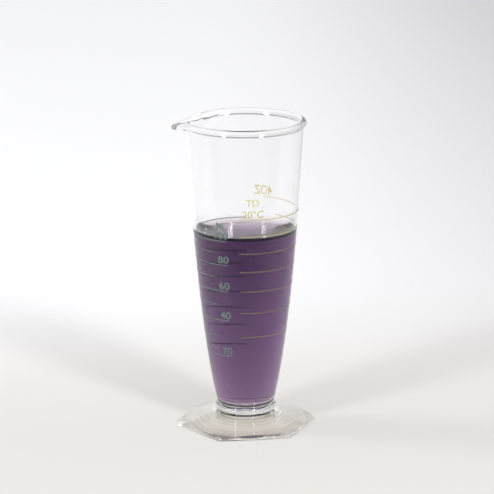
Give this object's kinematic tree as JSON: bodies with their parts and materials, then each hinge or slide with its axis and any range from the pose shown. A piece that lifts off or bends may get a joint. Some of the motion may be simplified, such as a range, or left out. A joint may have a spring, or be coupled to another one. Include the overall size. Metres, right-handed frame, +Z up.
{
  "type": "conical glass graduate",
  "caption": "Flared glass measuring vessel with a rolled rim and pouring spout on a hexagonal foot, part filled with liquid and printed with millilitre and ounce scales.",
  "frame": {"origin": "on the table under the middle of the hexagonal foot, on the plane that the foot rests on", "axes": "+Z up along the axis of the cone, -X towards the pouring spout and over the middle of a flat of the hexagon"},
  "size_m": [0.0666, 0.067, 0.15],
  "materials": {
    "clear_glass": "fire polished",
    "purple_liquid": "clear tinted liquid",
    "green_enamel": "fired enamel print",
    "amber_enamel": "fired enamel print"
  },
  "bodies": {
    "root": {"cone_vessel": "clear_glass", "joining_button": "clear_glass", "hex_foot": "clear_glass", "liquid_fill": "purple_liquid", "mark_20_ml": "green_enamel", "mark_30_ml": "green_enamel", "mark_40_ml": "green_enamel", "mark_50_ml": "green_enamel", "mark_60_ml": "green_enamel", "mark_70_ml": "green_enamel", "mark_80_ml": "green_enamel", "mark_90_ml": "green_enamel", "mark_100_ml": "green_enamel", "mark_1_oz": "amber_enamel", "mark_1_and_half_oz": "amber_enamel", "mark_2_oz": "amber_enamel", "mark_2_and_half_oz": "amber_enamel", "mark_3_oz": "amber_enamel", "mark_3_and_half_oz": "amber_enamel", "mark_4_oz": "amber_enamel"}
  },
  "joints": []
}
